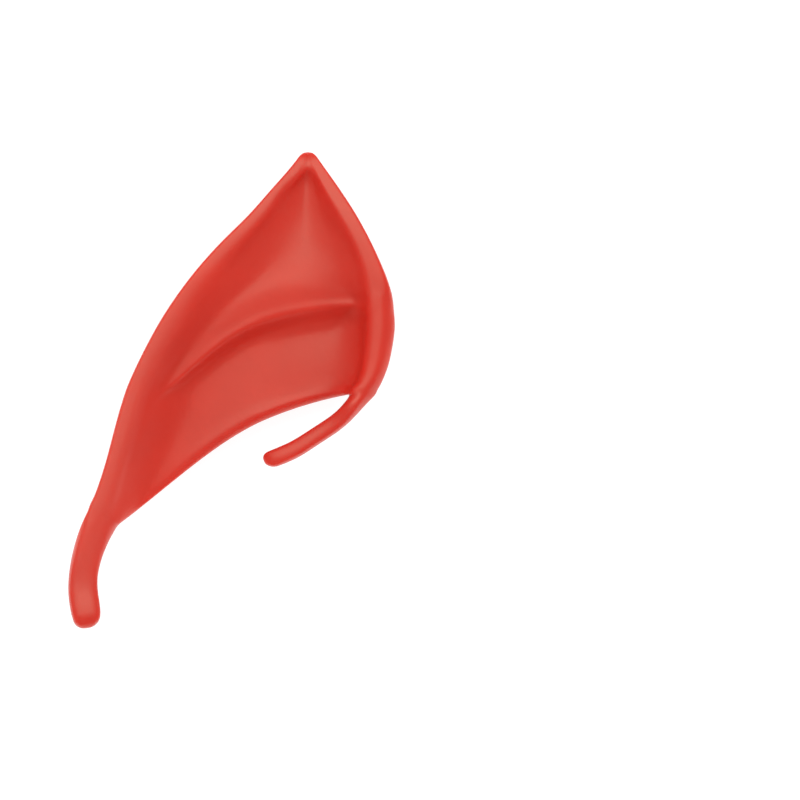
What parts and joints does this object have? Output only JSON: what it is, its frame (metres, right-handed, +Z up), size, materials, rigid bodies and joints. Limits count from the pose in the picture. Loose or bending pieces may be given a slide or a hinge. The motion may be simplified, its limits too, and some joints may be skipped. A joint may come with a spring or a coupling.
{
  "type": "elf ear tip",
  "caption": "Red soft elf ear tip: pointed hollow shell with rolled rims, a folded bowl, an open pocket for the wearer's ear, a tail and a hooked rim.",
  "frame": {"origin": "middle of the bounding box, at the bottom of the rounded back that it rests on", "axes": "+Z up, from the back to the front face; +Y towards the point; +X towards the hooked front rim"},
  "size_m": [0.0827, 0.1201, 0.0227],
  "materials": {
    "red_latex": "soft satin latex"
  },
  "bodies": {
    "root": {"ear_tip": "red_latex"}
  },
  "joints": []
}
